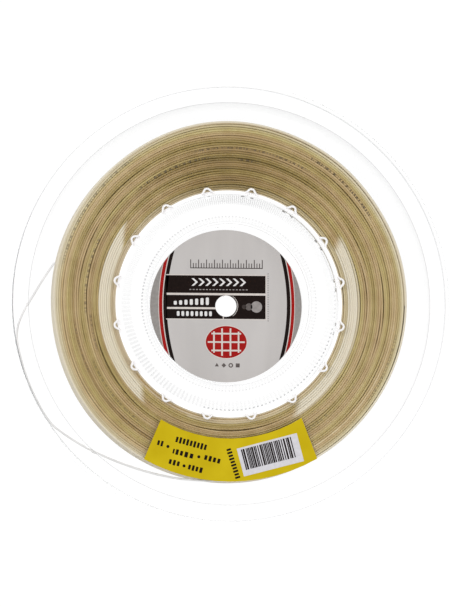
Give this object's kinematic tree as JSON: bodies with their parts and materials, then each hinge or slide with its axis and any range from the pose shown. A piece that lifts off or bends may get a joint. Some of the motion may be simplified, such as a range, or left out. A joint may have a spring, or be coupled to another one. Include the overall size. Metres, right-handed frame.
{
  "type": "racket string reel",
  "caption": "Clear plastic snap-together reel with a wound racket string, a sunk hub with spindle hole, printed centre and size labels and a loose end turn in the rim.",
  "frame": {"origin": "on the spindle axis, at the level of the flat rear rim that the reel lies on", "axes": "+Z along the spindle axis from the rear rim to the front, labelled side; +Y towards the top of the centre label; +X to its right"},
  "size_m": [0.272, 0.272, 0.0248],
  "materials": {
    "clear_plastic": "clear moulded polystyrene",
    "silver_label": "satin printed",
    "yellow_label": "satin printed",
    "string": "natural nylon"
  },
  "bodies": {
    "root": {"front_flange": "clear_plastic", "rear_flange": "clear_plastic", "hub_drum": "clear_plastic", "centre_label": "silver_label", "size_label": "yellow_label", "string_core": "string", "string_winding": "string", "string_front_turns": "string", "string_rear_turns": "string", "string_tail": "string"}
  },
  "joints": []
}
